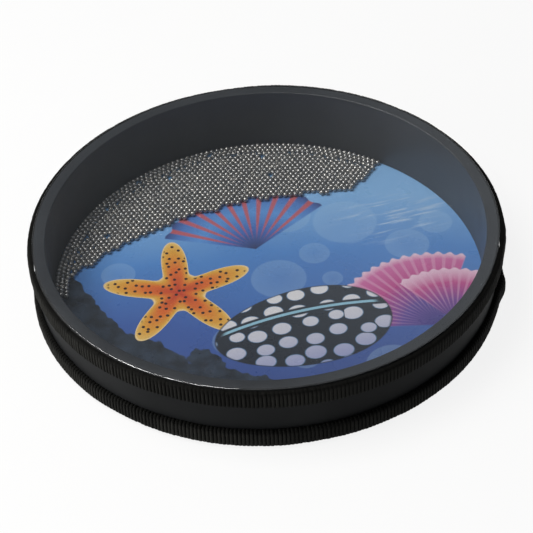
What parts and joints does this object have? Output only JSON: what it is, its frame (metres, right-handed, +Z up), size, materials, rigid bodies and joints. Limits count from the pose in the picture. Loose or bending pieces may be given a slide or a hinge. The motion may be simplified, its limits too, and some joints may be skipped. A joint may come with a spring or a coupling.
{
  "type": "ocean drum",
  "caption": "Shallow round frame drum with a clear upper head, a printed lower head and loose steel shot that rolls between them to sound like surf.",
  "frame": {"origin": "centre of the drum's underside, on its axis", "axes": "+Z up along the drum's axis through the clear head, +X to the right and +Y away in the picture"},
  "size_m": [0.26, 0.26, 0.04],
  "materials": {
    "hoop_paint": "satin black paint on ply",
    "wrap_vinyl": "satin black vinyl",
    "clear_film": "clear polyester film",
    "printed_film": "polyester film printed with a blue sea scene",
    "trim_tape": "black ribbed woven tape",
    "steel_shot": "bright steel balls"
  },
  "bodies": {
    "drum": {"hoop": "hoop_paint", "outer_wrap": "wrap_vinyl", "top_head": "clear_film", "bottom_head": "printed_film", "upper_trim": "trim_tape", "lower_trim": "trim_tape"},
    "wall_shot": {"wall_shot": "steel_shot"},
    "second_shot": {"second_shot": "steel_shot"},
    "third_shot": {"third_shot": "steel_shot"},
    "front_shot": {"front_shot": "steel_shot"}
  },
  "joints": [
    {"name": "shot_swirl", "type": "hinge", "parent": "drum", "child": "wall_shot", "pos_m": [0, 0, 0.00175], "axis": [0, 0, 1], "continuous": true},
    {"name": "second_shot_spread", "type": "slide", "parent": "wall_shot", "child": "second_shot", "axis": [0.4695, -0.8829, 0], "range_m": [0, 0.03]},
    {"name": "third_shot_spread", "type": "slide", "parent": "second_shot", "child": "third_shot", "axis": [0.4695, -0.8829, 0], "range_m": [0, 0.03]},
    {"name": "front_shot_spread", "type": "slide", "parent": "third_shot", "child": "front_shot", "axis": [0.4695, -0.8829, 0], "range_m": [0, 0.03]}
  ]
}
